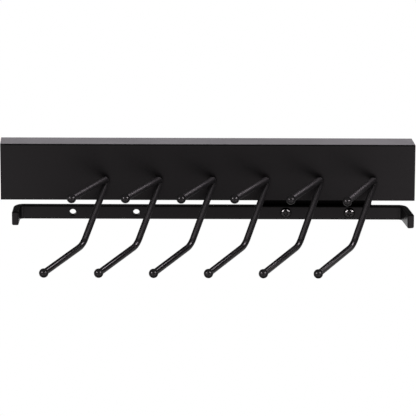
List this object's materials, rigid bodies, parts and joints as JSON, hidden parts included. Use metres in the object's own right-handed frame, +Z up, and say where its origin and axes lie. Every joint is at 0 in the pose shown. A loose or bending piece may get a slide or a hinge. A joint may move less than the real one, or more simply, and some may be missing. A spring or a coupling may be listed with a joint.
{
  "type": "tie rack",
  "caption": "Wall-mounted tie rack: black sheet-metal rail with angled, stepped, ball-tipped rod hooks, and a flat hanger bar below that pulls out on a roller carriage.",
  "frame": {"origin": "middle of the housing's wall flange, on the wall plane", "axes": "+X along the rack towards its rear end, +Y into the wall, +Z up; the front faces -Y and the bar pulls out along -X"},
  "size_m": [0.416, 0.1569, 0.0975],
  "materials": {
    "black_coat": "satin black powder coat",
    "rod_coat": "satin black coat on rod",
    "ball_cap": "semi-gloss black",
    "zinc_plate": "zinc-plated sheet",
    "black_zinc": "glossy black zinc plating",
    "bright_steel": "bright plated",
    "nylon": "natural nylon",
    "rubber": "matte black rubber"
  },
  "bodies": {
    "rack": {"housing": "black_coat", "slide_track": "zinc_plate", "front_stop": "rubber", "rear_stop": "rubber", "hook_1": "rod_coat", "hook_2": "rod_coat", "hook_3": "rod_coat", "hook_4": "rod_coat", "hook_5": "rod_coat", "hook_6": "rod_coat", "upper_ball_1": "ball_cap", "upper_ball_2": "ball_cap", "upper_ball_3": "ball_cap", "upper_ball_4": "ball_cap", "upper_ball_5": "ball_cap", "upper_ball_6": "ball_cap", "lower_ball_1": "ball_cap", "lower_ball_2": "ball_cap", "lower_ball_3": "ball_cap", "lower_ball_4": "ball_cap", "lower_ball_5": "ball_cap", "lower_ball_6": "ball_cap"},
    "carriage": {"carriage_plate": "black_coat", "front_axle": "bright_steel", "rear_axle": "bright_steel", "hanger_bar": "black_coat", "bar_screw_front": "black_zinc", "bar_screw_rear": "black_zinc"},
    "front_roller": {"front_roller": "nylon"},
    "rear_roller": {"rear_roller": "nylon"}
  },
  "joints": [
    {"name": "bar_slide", "type": "slide", "parent": "rack", "child": "carriage", "axis": [-1, 0, 0], "range_m": [0, 0.235]},
    {"name": "front_roller_spin", "type": "hinge", "parent": "carriage", "child": "front_roller", "pos_m": [0.07285, -0.01565, -0.02405], "axis": [0, 1, 0], "continuous": true},
    {"name": "rear_roller_spin", "type": "hinge", "parent": "carriage", "child": "rear_roller", "pos_m": [0.14885, -0.01565, -0.02405], "axis": [0, 1, 0], "continuous": true}
  ],
  "couplings": [
    {"joint": "front_roller_spin", "follows": "bar_slide", "rad_per_m": -111.11},
    {"joint": "rear_roller_spin", "follows": "bar_slide", "rad_per_m": 111.11}
  ]
}
